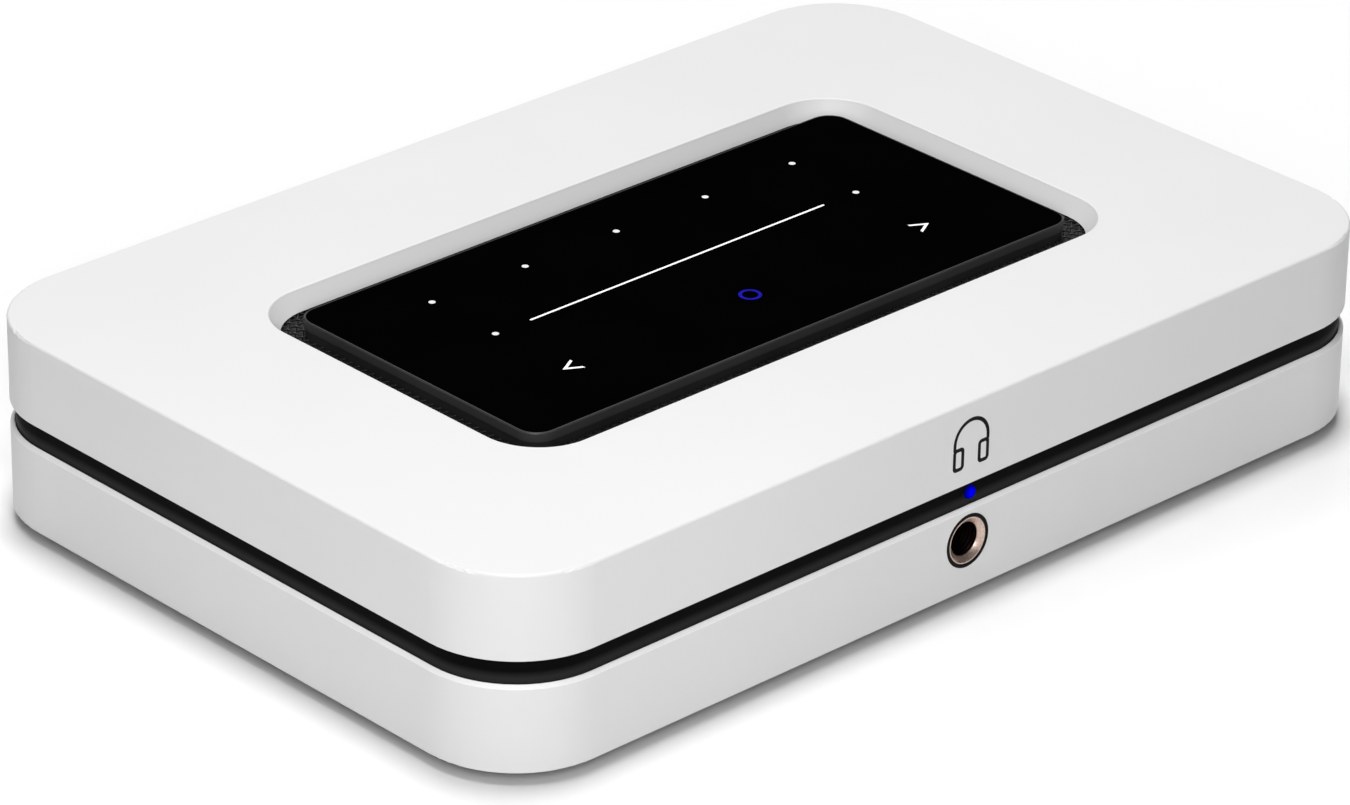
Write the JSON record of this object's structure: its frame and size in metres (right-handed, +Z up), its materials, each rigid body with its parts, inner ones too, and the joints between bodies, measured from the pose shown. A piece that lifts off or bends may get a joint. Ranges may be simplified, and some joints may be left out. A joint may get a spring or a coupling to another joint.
{
  "type": "bluetooth audio receiver",
  "caption": "Low two-part white casing with a dark groove, a recessed black touch panel on top, a headphone socket in front and a connector bay behind.",
  "frame": {"origin": "on the ground under the middle of the casing", "axes": "+X to the right seen from the front, +Y to the back, +Z up"},
  "size_m": [0.22, 0.146, 0.0408],
  "materials": {
    "white_shell": "satin white",
    "mark_black": "gloss black",
    "satin_black": "satin black",
    "foot_rubber": "matte",
    "steel": "brushed",
    "bezel_dark": "satin dark grey",
    "panel_glass": "gloss black, opaque",
    "mesh_black": "matte black perforated",
    "light_white": "lit white",
    "light_blue": "lit blue",
    "board_green": "solder mask",
    "nickel": "plated",
    "alloy": "satin",
    "chip_black": "moulded",
    "connector_white": "moulded",
    "transformer": "taped winding",
    "cable_black": "jacket",
    "insulator_white": "moulded",
    "insulator_red": "moulded",
    "brass_pin": "plated"
  },
  "bodies": {
    "chassis": {"antenna_cables": "cable_black", "antennas": "board_green", "audio_capacitors": "alloy", "base_plate": "satin_black", "board_chips": "chip_black", "board_connectors": "connector_white", "board_screws": "steel", "bottom_shell": "white_shell", "case_screws": "steel", "front_board": "board_green", "front_mark": "mark_black", "hdmi_port": "nickel", "headphone_bushing": "nickel", "headphone_collar": "satin_black", "headphone_jack_body": "satin_black", "lan_contacts": "brass_pin", "lan_port": "chip_black", "led_board": "board_green", "led_lens": "light_blue", "light_mask": "satin_black", "main_board": "board_green", "mains_filter": "transformer", "mid_frame": "satin_black", "mini_jacks": "chip_black", "optical_out_body": "chip_black", "panel_base": "satin_black", "panel_bezel": "bezel_dark", "panel_screws": "steel", "play_ring_light": "light_blue", "port_inserts": "chip_black", "power_board": "board_green", "power_capacitor": "chip_black", "power_harness": "cable_black", "power_inlet": "chip_black", "power_inlet_pins": "brass_pin", "power_transformer": "transformer", "preset_lights": "light_white", "processor_heatsink": "alloy", "processor_module": "board_green", "radio_shield": "steel", "rca_bodies": "chip_black", "rca_insulator_left": "insulator_white", "rca_insulator_right": "insulator_red", "rca_insulators_mono": "chip_black", "rca_sleeves": "nickel", "rear_panel": "satin_black", "ribbon_cables": "connector_white", "rubber_feet": "foot_rubber", "skip_arrow_lights": "light_white", "status_led": "light_blue", "top_cover": "white_shell", "touch_board": "board_green", "touch_glass": "panel_glass", "touch_leds": "light_white", "usb_port": "nickel", "vent_mesh": "mesh_black", "volume_bar_light": "light_white", "volume_step_lights": "light_white"},
    "shutter": {"optical_out_shutter": "chip_black"}
  },
  "joints": [
    {"name": "optical_shutter_hinge", "type": "hinge", "parent": "chassis", "child": "shutter", "pos_m": [-0.0435, 0.0621, 0.0201], "axis": [-1, 0, 0], "range_deg": [0, 78], "stiffness_Nm_per_rad": 0.0004, "springref_deg": -20.05}
  ]
}
